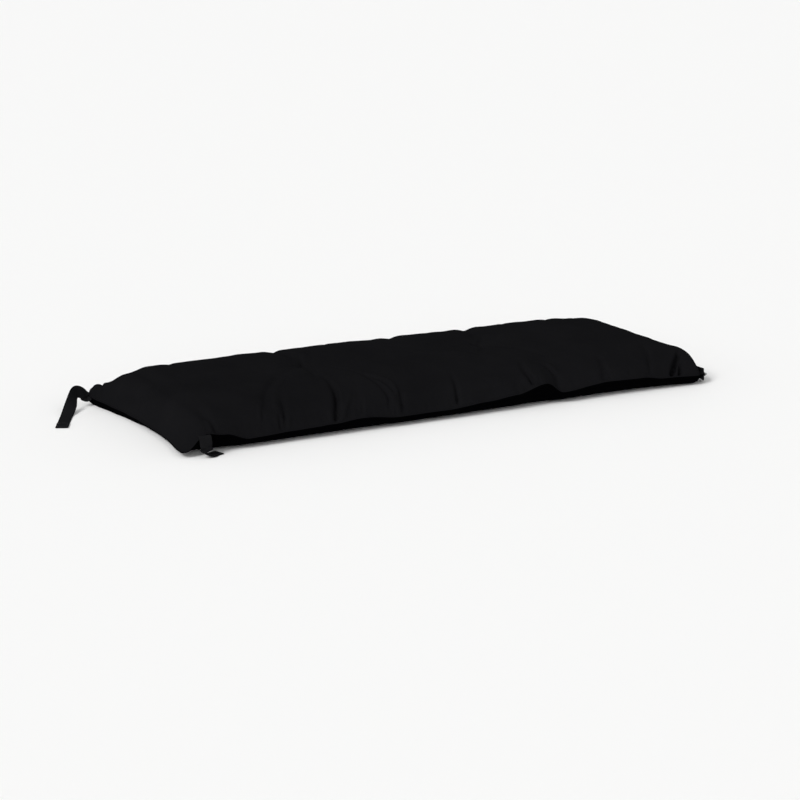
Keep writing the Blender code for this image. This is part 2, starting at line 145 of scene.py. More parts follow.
# Finer creases of the cloth alone. A depth below zero is a ridge.
CREASES = (
    # round the left tuft
    Fold((-0.20, 0.03), (-0.195, 0.06), (-0.18, 0.10), 0.006, 0.003, 0.001),
    Fold((-0.22, 0.03), (-0.26, 0.06), (-0.29, 0.10), 0.007, 0.002, 0.001),
    Fold((-0.21, 0.00), (-0.22, -0.03), (-0.22, -0.07), 0.006, 0.002, 0.001),
    Fold((-0.270, -0.066), (-0.255, -0.069), (-0.238, -0.062), 0.006, -0.002, -0.002),
    Fold((-0.314, -0.035), (-0.290, -0.038), (-0.262, -0.036), 0.006, -0.0012, -0.0012),
    # the arcs in front of it
    Fold((-0.296, -0.056), (-0.366, -0.136), (-0.379, -0.192), 0.006, 0.0015, 0.0015),
    Fold((-0.285, -0.066), (-0.345, -0.140), (-0.358, -0.190), 0.007, -0.001, -0.0015),
    Fold((-0.124, -0.108), (-0.087, -0.146), (-0.101, -0.195), 0.0045, -0.003, -0.003),
    Fold((-0.123, -0.122), (-0.109, -0.152), (-0.106, -0.190), 0.0035, 0.0025, 0.0025),
    # between the tufts
    Fold((-0.110, -0.012), (-0.085, 0.006), (-0.050, 0.022), 0.006, -0.0015, -0.0012),
    Fold((0.040, 0.010), (0.085, -0.028), (0.135, -0.050), 0.006, -0.0018, -0.0018),
    # round the right tuft
    Fold((0.130, 0.085), (0.158, 0.066), (0.178, 0.035), 0.0045, -0.0015, -0.003),
    Fold((0.200, 0.035), (0.214, 0.055), (0.228, 0.075), 0.004, 0.003, 0.002),
    Fold((0.195, 0.00), (0.18, -0.02), (0.165, -0.04), 0.007, 0.002, 0.001),
    # along the front, left to right
    Fold((-0.508, -0.206), (-0.506, -0.220), (-0.508, -0.231), 0.006, -0.002, -0.004),
    Fold((-0.498, -0.205), (-0.496, -0.220), (-0.497, -0.231), 0.004, 0.001, 0.003),
    Fold((-0.388, -0.181), (-0.395, -0.196), (-0.400, -0.210), 0.004, -0.001, -0.0018),
    Fold((-0.380, -0.180), (-0.387, -0.196), (-0.392, -0.210), 0.004, 0.0005, 0.0015),
    Fold((-0.360, -0.212), (-0.362, -0.220), (-0.362, -0.229), 0.0035, 0.003, 0.004),
    Fold((-0.337, -0.175), (-0.342, -0.196), (-0.348, -0.212), 0.0035, 0.002, 0.004),
    Fold((-0.342, -0.215), (-0.345, -0.224), (-0.349, -0.231), 0.0045, -0.002, -0.003),
    Fold((-0.212, -0.147), (-0.230, -0.195), (-0.250, -0.232), 0.0035, 0.002, 0.005),
    Fold((-0.198, -0.185), (-0.215, -0.212), (-0.238, -0.229), 0.006, -0.001, -0.004),
    Fold((-0.177, -0.198), (-0.183, -0.210), (-0.187, -0.221), 0.003, 0.001, 0.003),
    Fold((-0.121, -0.193), (-0.126, -0.207), (-0.129, -0.219), 0.003, 0.001, 0.0025),
    Fold((-0.114, -0.205), (-0.118, -0.214), (-0.122, -0.225), 0.004, -0.0015, -0.002),
    Fold((-0.094, -0.199), (-0.096, -0.209), (-0.098, -0.217), 0.0045, 0.003, 0.004),
    Fold((-0.109, -0.217), (-0.111, -0.224), (-0.111, -0.232), 0.006, -0.002, -0.003),
    Fold((0.034, -0.182), (0.026, -0.204), (0.020, -0.219), 0.0035, 0.001, 0.0045),
    Fold((0.103, -0.190), (0.121, -0.192), (0.142, -0.189), 0.006, -0.0015, -0.0015),
    Fold((0.197, -0.172), (0.192, -0.197), (0.190, -0.215), 0.0035, 0.001, 0.004),
    Fold((0.206, -0.215), (0.203, -0.222), (0.200, -0.229), 0.003, 0.002, 0.003),
    Fold((0.254, -0.166), (0.256, -0.180), (0.256, -0.194), 0.005, -0.002, -0.003),
    Fold((0.247, -0.170), (0.248, -0.182), (0.247, -0.194), 0.0035, 0.001, 0.002),
    Fold((0.367, -0.200), (0.365, -0.213), (0.367, -0.226), 0.0035, 0.001, 0.002),
    Fold((0.476, -0.190), (0.468, -0.206), (0.462, -0.219), 0.0035, 0.001, 0.002),
    Fold((0.541, -0.199), (0.526, -0.216), (0.508, -0.229), 0.004, 0.006, 0.011),
    Fold((0.531, -0.217), (0.521, -0.226), (0.512, -0.235), 0.0035, -0.003, -0.004),
    Fold((0.533, -0.222), (0.527, -0.229), (0.521, -0.236), 0.0035, 0.007, 0.010),
    Fold((0.540, -0.231), (0.553, -0.231), (0.568, -0.229), 0.006, -0.002, -0.002),
    # the valley behind the front lip, and the lip's own swelling
    Fold((-0.236, -0.216), (-0.190, -0.222), (-0.130, -0.218), 0.0045, 0.0022, 0.0022),
    Fold((-0.093, -0.218), (-0.054, -0.221), (-0.008, -0.220), 0.0045, 0.0018, 0.0018),
    Fold((0.024, -0.216), (0.087, -0.222), (0.165, -0.212), 0.005, 0.0035, 0.0022),
    Fold((0.030, -0.226), (0.090, -0.230), (0.165, -0.224), 0.005, -0.0025, -0.0015),
    Fold((0.258, -0.214), (0.330, -0.221), (0.414, -0.220), 0.005, 0.002, 0.002),
    Fold((0.414, -0.220), (0.445, -0.222), (0.480, -0.224), 0.0045, 0.0018, 0.0015),
    Fold((-0.490, -0.214), (-0.430, -0.219), (-0.375, -0.217), 0.005, 0.002, 0.0015),
    Fold((-0.335, -0.217), (-0.300, -0.221), (-0.262, -0.219), 0.005, 0.0015, 0.002),
    # the left end
    Fold((-0.565, 0.120), (-0.560, 0.077), (-0.556, 0.026), 0.006, 0.002, 0.004),
    Fold((-0.530, 0.026), (-0.545, 0.024), (-0.556, 0.023), 0.005, -0.002, -0.003),
    Fold((-0.530, -0.030), (-0.543, -0.055), (-0.555, -0.080), 0.005, -0.001, -0.002),
    Fold((-0.525, 0.190), (-0.550, 0.195), (-0.582, 0.205), 0.006, 0.001, 0.006),
    Fold((-0.555, 0.222), (-0.570, 0.200), (-0.585, 0.178), 0.005, 0.002, 0.005),
    Fold((-0.560, 0.212), (-0.575, 0.213), (-0.590, 0.220), 0.006, -0.002, -0.005),
    # the rear and the right end
    Fold((-0.32, 0.18), (-0.325, 0.21), (-0.320, 0.232), 0.006, 0.001, 0.002),
    Fold((-0.09, 0.17), (-0.08, 0.20), (-0.085, 0.232), 0.007, 0.001, 0.002),
    Fold((0.15, 0.18), (0.155, 0.21), (0.150, 0.232), 0.006, 0.001, 0.002),
    Fold((0.33, 0.17), (0.34, 0.20), (0.335, 0.232), 0.007, 0.001, 0.002),
    Fold((0.53, 0.19), (0.55, 0.205), (0.575, 0.215), 0.006, 0.001, 0.004),
    Fold((0.55, 0.00), (0.57, -0.01), (0.592, -0.01), 0.006, 0.001, 0.002),
    Fold((0.54, 0.12), (0.565, 0.13), (0.592, 0.14), 0.007, 0.001, 0.003),
)
CREASE_START = 0.002  # how far in from the seam the creases begin
CREASE_RUN = 0.007  # and how far they take to reach their depth

# The seam: both panels' allowances make one thin raised edge
WELT_RADIUS = 0.0015
WELT_WIDTH = 0.0026  # how far in the filling begins
SEAM_WANDER = 0.0009  # how far the seam strays from its line
WANDER_PITCHES = (0.055, 0.083, 0.140)
WANDER_REACH = 0.020  # how far in the cloth goes with it

# The lip: next to the seam the top panel flares out before it climbs, a little more than the
# solid's does
LIP_WIDTH = 0.013
LIP_SHARE = 0.68

# Gathers: short waves that the seam draws up in both panels
GATHER_PITCHES = (0.0155, 0.0210, 0.0290, 0.0410)
GATHER_HEIGHT = 0.0007
GATHER_REACH = 0.010  # how far in they fade, and how far in they begin
GATHER_START = 0.0016

# Ripples: waves along a line, whose phase and strength change slowly
RIPPLE_SWAY = 1.6  # how far the phase goes to and fro, in radians
RIPPLE_SWAY_RUN = 6.3  # and over how many pitches
RIPPLE_SWELL = 0.35  # share of the strength that comes and goes
RIPPLE_SWELL_RUN = 9.1

# Lumps of the filling and slack in the cloth
LUMP_PITCH = 0.110
LUMP_HEIGHT = 0.0005
SLACK_PITCH = 0.042
SLACK_HEIGHT = 0.00018
WAVE_COUNT = 14  # crossing waves that make each uneven surface
WAVE_PITCHES = (0.7, 1.5)  # shortest and longest of them, in pitches

# Pulls: the cloth's rays round a tuft
PULL_COUNTS = (5, 8, 11, 15)
PULL_HEIGHT = 0.0008
PULL_REACH = 0.022  # how far out they fade, and how far out they are full
PULL_START = 0.006

# Seeds of all that is drawn at random
LUMP_SEED = 11
TOP_SLACK_SEED = 12
TOP_PULL_SEED = 13
UNDER_PULL_SEED = 14
UNDER_SLACK_SEED = 15
TOP_GATHER_SEED = 20
END_WANDER_SEED = 31
SIDE_WANDER_SEED = 32
UNDER_GATHER_SEED = 40

# The grid of each panel: lines close to the seam, fine ones behind the front, then even ones
NEAR_SEAM = (0.0, 0.0004, 0.0010, 0.0018, 0.0026, 0.0036, 0.0052, 0.0075, 0.0105, 0.0145, 0.0190)
COLUMN_PITCH = 0.0030
ROW_PITCH = 0.0055
FINE_PITCH = 0.0030
FINE_REACH = 0.060

# Tuft threads: a small cross at the bottom of each tuft, which follows the cloth there
THREAD_RADIUS = 0.0007
THREAD_REACH = 0.0046
THREAD_TURN = 0.35  # how far the cross is turned, in radians
THREAD_RISE = 2.4  # how far the ends rise over the middle, in radii
THREAD_SINK = 0.6  # and how far the middle sinks in
THREAD_RINGS = 9
THREAD_SIDES = 8
KNOT_REACH = 0.006  # the cloth within this of a tuft's middle says how high the cross lies
KNOT_HEIGHT = 0.03  # a height between the two panels there

# The ties: bands sewn into the seam, whose free ends are folded back once
BAND_WIDTH = 0.025
BAND_THICKNESS = 0.0013
CAD_THICKNESS = 0.002  # the solid's, which sets the height of the sewn end
SEAM_GAP = 0.0003  # between the solid's sewn end and the seam
SEAM_SEARCH = 0.08  # how far each way along the seam its bow is read, in panel units
SEAM_POINTS = 41
CLEAR_WIDTH = 1.1 * BAND_WIDTH  # the stretch of seam that a sewn end clears
SEWN_RUN = 0.004  # each tie leaves the seam level for this far
TUCK = 0.0035  # how far the band runs into the seam
TUCKED_SHARE = 0.3  # share of the sewn end's turn that is inside the seam
BAND_STEPS = 9  # straight runs between two stations
HEM_LENGTH = 0.030
HEM_GAP = 0.0002  # between the hem's two layers
HEM_FOLD_POINTS = 7
PROFILE_POINTS = 28
PROFILE_POWER = 0.22  # a lower one is a squarer edge
SELVEDGE_SHARE = 0.14  # share of the thickness that only the edges have
SELVEDGE_POWER = 6  # a higher one keeps it closer to them

# A route's stations: how far out from the seam and to the left, the height of the band's
# underside over the floor, and how far its left edge is turned up, in degrees
Station = namedtuple("Station", "out left height bank")
LONG_ROUTE = (
    Station(0.007, -0.001, 0.021, -52),
    Station(0.015, 0.000, 0.028, -68),
    Station(0.025, 0.004, 0.032, -70),
    Station(0.036, 0.016, 0.030, -62),
    Station(0.049, 0.036, 0.016, -32),
    Station(0.066, 0.060, 0.002, -6),
    Station(0.086, 0.099, 0.000, 0),
    Station(0.105, 0.139, 0.000, 0),
)
DROPPED_ROUTE = (
    Station(0.007, 0.000, 0.031, 0),
    Station(0.0095, 0.000, 0.018, 0),
    Station(0.0105, 0.001, 0.006, 0),
    Station(0.008, 0.009, 0.001, 0),
    Station(0.000, 0.020, 0.000, 0),
    Station(-0.004, 0.031, 0.000, 0),
)
HIDDEN_ROUTE = (
    Station(0.012, -0.001, 0.017, -16),
    Station(0.024, 0.003, 0.022, -34),
    Station(0.036, 0.016, 0.020, -36),
    Station(0.049, 0.036, 0.011, -20),
    Station(0.066, 0.060, 0.002, -4),
    Station(0.086, 0.099, 0.000, 0),
    Station(0.105, 0.139, 0.000, 0),
)
EDGEWAYS_ROUTE = (
    Station(0.0045, 0.000, 0.0175, 56),
    Station(0.009, 0.001, 0.0155, 84),
    Station(0.0125, 0.006, 0.0145, 88),
    Station(0.0125, 0.018, 0.014, 88),
    Station(0.012, 0.034, 0.0135, 82),
    Station(0.014, 0.052, 0.009, 44),
    Station(0.018, 0.070, 0.002, 8),
    Station(0.021, 0.086, 0.000, 0),
    Station(0.023, 0.101, 0.000, 0),
)

# Where each tie is sewn in, as a panel point on the seam, the way it leaves, in degrees from +X,
# and how far its sewn end is turned. The first one's is turned, because its ear is crumpled.
Tie = namedtuple("Tie", "name u v heading sewn_bank route")
TIES = (
    Tie("strap_rear_left", -1.0, 0.90, 180, -34, LONG_ROUTE),
    Tie("strap_rear_right", 0.93, 1.0, 90, 0, HIDDEN_ROUTE),
    Tie("strap_front_left", -0.913, -1.0, -90, 0, DROPPED_ROUTE),
    Tie("strap_front_right", 1.0, -0.90, 0, 0, EDGEWAYS_ROUTE),
)

# Stitches of the hems, thinner and lower towards their ends
STITCH_PITCH = 0.0030
STITCH_LENGTH = 0.0021
STITCH_RADIUS = 0.00028
STITCH_DIP = 1.4  # how far the ends dip into the band, in radii
STITCH_TAPER = 0.35
STITCH_INSET = 0.0028
STITCH_RINGS = 5
STITCH_SIDES = 6

# The cloth's colours, the painted shade of its lower panel, and its weave
BLACK_DEEP = (0.0048, 0.0048, 0.0054, 1.0)
BLACK_FADED = (0.0076, 0.0075, 0.0083, 1.0)
BAND_DEEP = (0.0070, 0.0070, 0.0077, 1.0)
BAND_FADED = (0.0115, 0.0115, 0.0124, 1.0)
# painted shade: the lower panel's colour, far darker than the cloth, stands for the shade beneath
# the cushion
UNDERSIDE_SHADE = (0.0007, 0.0007, 0.0009, 1.0)
UNDERSIDE_SHIFT = 1.5 * DEPTH  # how far the lower panel's weave coordinates are moved up, which marks it for the painted shade
UNDERSIDE_SHADE_START = 0.39  # from here on they are the lower panel's, which takes the painted shade
THREAD_PALE = (0.020, 0.020, 0.022, 1.0)
SHEEN_TINT = (0.62, 0.63, 0.68, 1.0)
SHEEN_WEIGHT = 0.003
SHEEN_ROUGHNESS = 0.45
CLOTH_ROUGHNESS = (0.80, 0.96)
THREAD_ROUGHNESS = 0.55
THREAD_PITCH = 0.0011
RIB_PITCH = 0.0016
THREAD_RELIEF = 0.5  # the weave's share of the relief, and its slubs'
SLUB_RELIEF = 0.8
BUMP_DISTANCE = 0.0004
COVER_BUMP = 0.30
BAND_BUMP = 0.45
THREAD_TONE = 0.22  # how far the weave shifts the fading
Noise = namedtuple("Noise", "scale detail")
SLUBS = Noise(900.0, 2.0)
PATCHES = Noise(9.0, 4.0)
WEAR = Noise(60.0, 3.0)
FUZZ = Noise(1500.0, 1.0)

# The studio: the sky is as bright as the floor at the horizon and dims towards the top
SKY_LOW = 0.97
SKY_HIGH = 0.42
SKY_DIMS = (0.15, 0.60)  # from this height of a unit sky to that
FLOOR_PAINT = (0.92, 0.92, 0.915, 1.0)
FLOOR_ROUGHNESS = 0.85
FLOOR_REACH = 40.0
FLOOR_CELLS = 4
FLOOR_DROP = 0.0002  # keeps it just clear of the cloth
# each light's name, where it comes from, its spread in degrees and its power
LIGHTS = (
    ("key", (-2.8, -0.9, 2.6), 24.0, 2.25),
    ("fill", (-0.8, -3.0, 1.1), 60.0, 0.55),
)

# The camera
CAMERA_AT = (-2.395, -4.936, 1.472)
CAMERA_AZIMUTH = -25.91
CAMERA_ELEVATION = 15.33
CAMERA_ROLL = -0.63
CAMERA_LENS = 125.1
CAMERA_SHIFT = (-0.0015, 0.01025)
CAMERA_FAR = 200.0
SENSOR = 36.0


def eased(x, knots, values):
    """Read a table between its rows with an even, rounded change."""
    knots = np.asarray(knots)
    values = np.asarray(values)
    row = np.clip(np.searchsorted(knots, x) - 1, 0, len(knots) - 2)
    share = np.clip((x - knots[row]) / (knots[row + 1] - knots[row]), 0, 1)
    share = share * share * (3 - 2 * share)
    return values[row] * (1 - share) + values[row + 1] * share


def plan(u, v):
    """Where a panel point lies in plan, u and v running from -1 to 1."""
    near_front = (1 - v) / 2
    left = -LENGTH / 2 + FRONT_LEFT_SHORT * near_front + LEFT_DRAW_IN * (1 - v * v)
    right = LENGTH / 2 - FRONT_RIGHT_SHORT * near_front**3 - RIGHT_DRAW_IN * (1 - v * v)
    half_depth = DEPTH / 2 - SIDE_DRAW_IN * (1 - np.abs(u) ** SIDE_POWER)
    ear = np.abs(u) ** EAR_END_POWER * np.abs(v) ** EAR_SIDE_POWER
    x = left + (right - left) * (1 + u) / 2 - np.sign(u) * EAR_BLUNT * ear
    y = v * half_depth - np.sign(v) * EAR_BLUNT * ear
    return x, y


def section_height(u, v, line):
    """The height of the seam or the crown, blended from the front to the rear."""
    x, _ = plan(u, v)
    knots = [section.x for section in SECTIONS]
    front = eased(x, knots, [getattr(section, f"front_{line}") for section in SECTIONS])
    rear = eased(x, knots, [getattr(section, f"rear_{line}") for section in SECTIONS])
    return front + (rear - front) * (1 + v) / 2


def insets(u, v):
    """How far a panel point is from the nearer end and from the nearer side."""
    return (1 - np.abs(u)) * LENGTH / 2, (1 - np.abs(v)) * DEPTH / 2


def past_welt(t, half_size):
    """Panel units measured from the inner side of the welt."""
    return np.sign(t) * np.minimum(1, np.abs(t) + WELT_WIDTH / half_size)


def rise(u, v):
    """How full the section is, from 0 at the seam to 1 in the middle."""
    u = past_welt(u, LENGTH / 2)
    v = past_welt(v, DEPTH / 2)
    end_power = END_POWER
    side_power = np.where(v < 0, FRONT_POWER, REAR_POWER)
    for corner in FULL_CORNERS:
        along_u = np.clip(u * corner.u, 0, 1)
        along_v = np.clip(v * corner.v, 0, 1)
        near_side = (along_u > 0) * along_v**corner.end_reach
        near_end = (along_v > 0) * along_u**corner.side_reach
        end_power = end_power + (corner.end_power - END_POWER) * near_side
        side_power = side_power + (corner.side_power - side_power) * near_end
    along = 1 - np.abs(u) ** end_power
    across = 1 - np.abs(v) ** side_power
    return (along * across) ** RISE_POWER


def tuft(x, y):
    """The funnel that each tuft draws, 1 at its middle."""
    funnel = np.zeros_like(x)
    for knot in TUFTS:
        away = np.hypot(x - knot.x, y - knot.y) / TUFT_RADIUS
        funnel = np.maximum(funnel, np.exp(-(away**TUFT_POWER)))
    return funnel


def fold(x, y, row):
    """The depth of one fold at each point: a trough between two low shoulders."""
    start, bend, end = (np.array(point) for point in (row.start, row.bend, row.end))
    t = np.linspace(0, 1, FOLD_STEPS + 1)[:, None]
    route = (1 - t) ** 2 * start + 2 * t * (1 - t) * bend + t * t * end
    low, high = route.min(0) - FOLD_SPAN * row.width, route.max(0) + FOLD_SPAN * row.width
    near = (x > low[0]) & (x < high[0]) & (y > low[1]) & (y < high[1])
    px, py = x[near], y[near]
    nearest = np.full(px.shape, np.inf)
    along = np.zeros(px.shape)
    for step, (a, b) in enumerate(zip(route[:-1], route[1:])):
        run = b - a
        share = np.clip(((px - a[0]) * run[0] + (py - a[1]) * run[1]) / (run @ run), 0, 1)
        away = np.hypot(px - a[0] - share * run[0], py - a[1] - share * run[1])
        closer = away < nearest
        along = np.where(closer, (step + share) / FOLD_STEPS, along)
        nearest = np.where(closer, away, nearest)
    spread = (nearest / row.width) ** 2
    depth = row.start_depth + (row.end_depth - row.start_depth) * along
    total = np.zeros_like(x)
    total[near] = depth * (1 - FOLD_SHOULDER * spread) * np.exp(-spread)
    return total


def crossing_waves(x, y, pitch, seed):
    """An uneven surface, about 1 high, from waves that run every way."""
    draw = np.random.default_rng(seed)
    total = np.zeros_like(x)
    for _ in range(WAVE_COUNT):
        way = draw.uniform(0, np.pi)
        size = 2 * np.pi / (pitch * draw.uniform(*WAVE_PITCHES))
        total += np.cos(size * (x * np.cos(way) + y * np.sin(way)) + draw.uniform(0, 2 * np.pi))
    return total / np.sqrt(WAVE_COUNT / 2)


def ripple(t, pitches, seed):
    """Uneven short waves along a line, from about -1 to 1."""
    draw = np.random.default_rng(seed)
    total = np.zeros_like(t)
    for pitch in pitches:
        phase, drift, slow = draw.uniform(0, 2 * np.pi, 3)
        sway = RIPPLE_SWAY * np.cos(2 * np.pi * t / (RIPPLE_SWAY_RUN * pitch) + drift)
        swell = RIPPLE_SWELL * np.cos(2 * np.pi * t / (RIPPLE_SWELL_RUN * pitch) + slow)
        strength = 1 - RIPPLE_SWELL + swell
        total += strength * np.cos(2 * np.pi * t / pitch + phase + sway)
    return total / np.sqrt(len(pitches))


def gathers(u, v, x, y, seed):
    """The waves that each stretch of seam draws up in the panel beside it."""
    end, side = insets(u, v)
    total = np.zeros_like(x)
    for away, along, edge in ((side, x, np.sign(v)), (end, y, np.sign(u))):
        for number, which in enumerate((-1, 1)):
            waves = ripple(along, GATHER_PITCHES, seed + number + 2 * (along is y))
            held = 1 - np.exp(-np.clip(away - GATHER_START, 0, None) / GATHER_START)
            total += (edge == which) * held * np.exp(-away / GATHER_REACH) * waves
    return GATHER_HEIGHT * total


def pulls(x, y, seed):
    """Rays round the tufts."""
    total = np.zeros_like(x)
    draw = np.random.default_rng(seed)
    for knot in TUFTS:
        away = np.hypot(x - knot.x, y - knot.y)
        angle = np.arctan2(y - knot.y, x - knot.x)
        rays = sum(np.cos(count * angle + draw.uniform(0, 2 * np.pi)) for count in PULL_COUNTS)
        rays = rays / len(PULL_COUNTS) ** 0.5
        total += rays * np.exp(-away / PULL_REACH) * away / (away + PULL_START)
    return PULL_HEIGHT * total


def welt(inset):
    """The height of the raised edge over the seam's middle line."""
    across = (inset - WELT_RADIUS) / WELT_RADIUS
    return WELT_RADIUS * np.sqrt(np.clip(1 - across * across, 0, None))


def normals(grid):
    """Upward unit normals of a grid of points."""
    along = np.gradient(grid, axis=1)
    across = np.gradient(grid, axis=0)
    facing = np.cross(along, across)
    return facing / np.maximum(np.linalg.norm(facing, axis=2, keepdims=True), 1e-12)


def grid_line(size, pitch, fine_reach=0.0):
    """Panel units of the grid's lines from -1 to 1, fine ones first."""
    near = np.array(NEAR_SEAM)
    fine = np.arange(near[-1] + FINE_PITCH, fine_reach, FINE_PITCH)
    start = fine[-1] if len(fine) else near[-1]
    stop = size - near[-1]
    even = np.linspace(start, stop, round((stop - start) / pitch) + 1)[1:-1]
    return np.array([*near, *fine, *even, *(size - near[::-1])]) * 2 / size - 1


def top_points(u, v, x, y):
    """The top panel: crown, lip, tufts and folds, then the cloth's own detail."""
    end, side = insets(u, v)
    inset = np.minimum(end, side)
    seam = section_height(u, v, "seam")
    full = rise(u, v) * (1 - LIP_SHARE * np.exp(-((inset / LIP_WIDTH) ** 2)))
    room = (section_height(u, v, "crown") - seam) * full
    relief = TUFT_DEPTH * tuft(x, y) + sum(fold(x, y, row) for row in FOLDS)
    relief = np.minimum(relief, FOLD_LIMIT * room)
    z = seam + room - relief * np.clip(full * FOLD_FADE, 0, 1) + welt(inset)
    grid = np.stack([x, y, z], axis=2)
    # this detail stands square to the surface
    begun = np.clip((inset - CREASE_START) / CREASE_RUN, 0, 1)
    detail = -begun * sum(fold(x, y, row) for row in CREASES)
    detail += begun * LUMP_HEIGHT * crossing_waves(x, y, LUMP_PITCH, LUMP_SEED)
    detail += begun * SLACK_HEIGHT * crossing_waves(x, y, SLACK_PITCH, TOP_SLACK_SEED)
    detail += pulls(x, y, TOP_PULL_SEED) + gathers(u, v, x, y, TOP_GATHER_SEED)
    return grid + normals(grid) * detail[:, :, None]


def underside_points(u, v, x, y):
    """The lower panel, flat where it rests on the floor and never below it."""
    end, side = insets(u, v)
    inset = np.minimum(end, side)
    lifted = np.clip(1 - CONTACT_GAIN * rise(u, v), 0, 1) ** CONTACT_POWER
    dimple = np.clip((tuft(x, y) - UNDER_TUFT_CUT) / (1 - UNDER_TUFT_CUT), 0, 1)
    z = section_height(u, v, "seam") * lifted + UNDER_TUFT_DEPTH * dimple - welt(inset)
    grid = np.stack([x, y, z], axis=2)
    free = np.clip(lifted + dimple, 0, 1)
    begun = np.clip(inset / CREASE_RUN, 0, 1)
    detail = gathers(u, v, x, y, UNDER_GATHER_SEED) + pulls(x, y, UNDER_PULL_SEED) * dimple
    detail += SLACK_HEIGHT * crossing_waves(x, y, SLACK_PITCH, UNDER_SLACK_SEED) * begun
    grid = grid - normals(grid) * (detail * free)[:, :, None]
    grid[:, :, 2] = np.maximum(grid[:, :, 2], 0)
    return grid


def cloth_lengths(grid):
    """How far each point is along the cloth from the panel's middle lines."""
    lengths = []
    for axis in (1, 0):
        steps = np.linalg.norm(np.diff(grid, axis=axis), axis=2)
        run = np.cumsum(steps, axis=axis)
        run = np.concatenate([np.zeros_like(np.take(run, [0], axis=axis)), run], axis=axis)
        middle = np.take(run, [run.shape[axis] // 2], axis=axis)
        lengths.append(run - middle)
    return lengths


def link(name, data):
    """A new object in the scene, for a mesh, a light or a camera."""
    made = bpy.data.objects.new(name, data)
    bpy.context.scene.collection.objects.link(made)
    return made


def finished(name, body):
    """The smooth object that a bmesh makes."""
    mesh = bpy.data.meshes.new(name)
    body.to_mesh(mesh)
    body.free()
    mesh.shade_smooth()
    return link(name, mesh)


def round_ring(body, middle, aside, upward, radius, sides):
    """Points round a thread's middle line."""
    ring = []
    for angle in np.arange(sides) * 2 * np.pi / sides:
        out = aside * np.cos(angle) + upward * np.sin(angle)
        ring.append(body.verts.new(middle + out * radius))
    return ring


def close_tube(body, rings):
    """Faces between the rings and over both ends. Those between are given back."""
    made = []
    for before, after in zip(rings, rings[1:]):
        for a, b, c, d in zip(before, before[1:] + before[:1], after[1:] + after[:1], after):
            made.append(body.faces.new([a, b, c, d]))
    body.faces.new(rings[0][::-1])
    body.faces.new(rings[-1])
    bmesh.ops.recalc_face_normals(body, faces=body.faces)
    return made


def cover():
    """Both panels as one closed mesh, joined along the seam."""
    across = grid_line(LENGTH, COLUMN_PITCH)
    up = grid_line(DEPTH, ROW_PITCH, FINE_REACH)
    u, v = np.meshgrid(across, up)
    x, y = plan(u, v)
    end, side = insets(u, v)
    # the seam strays a little, and takes the cloth beside it along
    stray = SEAM_WANDER * ripple(y, WANDER_PITCHES, END_WANDER_SEED)
    x = x + np.sign(u) * stray * np.exp(-end / WANDER_REACH)
    stray = SEAM_WANDER * ripple(x, WANDER_PITCHES, SIDE_WANDER_SEED)
    y = y + np.sign(v) * stray * np.exp(-side / WANDER_REACH)
    top = top_points(u, v, x, y)
    under = underside_points(u, v, x, y)
    rows, columns = u.shape
    inner = np.zeros(u.shape, bool)
    inner[1:-1, 1:-1] = True
    number_top = np.arange(rows * columns).reshape(rows, columns)
    number_under = number_top.copy()
    number_under[inner] = rows * columns + np.arange(inner.sum())
    points = np.concatenate([top.reshape(-1, 3), under[inner]])

    def quads(number, turned):
        corners = [number[:-1, :-1], number[:-1, 1:], number[1:, 1:], number[1:, :-1]]
        made = np.stack([c.ravel() for c in corners], axis=1)
        return made[:, ::-1] if turned else made

    faces = np.concatenate([quads(number_top, False), quads(number_under, True)])
    mesh = bpy.data.meshes.new("cushion_cover")
    mesh.from_pydata(points.tolist(), [], faces.tolist())
    weave = mesh.uv_layers.new(name="weave")
    spread = []
    for grid, turned in ((top, False), (under, True)):
        run_u, run_v = cloth_lengths(grid)
        flat = np.arange(rows * columns).reshape(rows, columns)
        order = quads(flat, turned).ravel()
        # the lower panel's coordinates are moved up so that the painted shade can pick it out
        shift = UNDERSIDE_SHIFT * turned
        spread.append(np.stack([run_u.ravel()[order], run_v.ravel()[order] + shift], axis=1))
    weave.data.foreach_set("uv", np.concatenate(spread).astype(np.float32).ravel())
    mesh.shade_smooth()
    mesh.validate()
    return link("cushion_cover", mesh)


def tuft_threads(name, knot, height, lift):
    """A small cross of thread at the bottom of a tuft."""
    body = bmesh.new()
    upward = Vector((0, 0, 1))
    for turn in (THREAD_TURN, THREAD_TURN + np.pi / 2):
        way = Vector((np.cos(turn), np.sin(turn), 0))
        aside = Vector((-way.y, way.x, 0))
        rings = []
        for step in np.linspace(-1, 1, THREAD_RINGS):
            middle = Vector((knot.x, knot.y, height)) + way * step * THREAD_REACH
            middle.z += lift * (step * step * THREAD_RISE - THREAD_SINK) * THREAD_RADIUS
            rings.append(round_ring(body, middle, aside, upward, THREAD_RADIUS, THREAD_SIDES))
        close_tube(body, rings)
    return finished(name, body)


def smooth_route(points):
    """Points along a smooth curve through every given point, each a row of numbers."""
    ends = [2 * points[0] - points[1], *points, 2 * points[-1] - points[-2]]
    curve = []
    for before, a, b, after in zip(ends, ends[1:], ends[2:], ends[3:]):
        squared = 2 * before - 5 * a + 4 * b - after
        cubed = 3 * a - before - 3 * b + after
        for t in np.arange(BAND_STEPS) / BAND_STEPS:
            curve.append((2 * a + (b - before) * t + squared * t**2 + cubed * t**3) / 2)
    curve.append(points[-1])
    return np.array(curve)


def outward(tie):
    """The way a tie leaves the seam, in plan."""
    heading = np.radians(tie.heading)
    return np.array([np.cos(heading), np.sin(heading)])


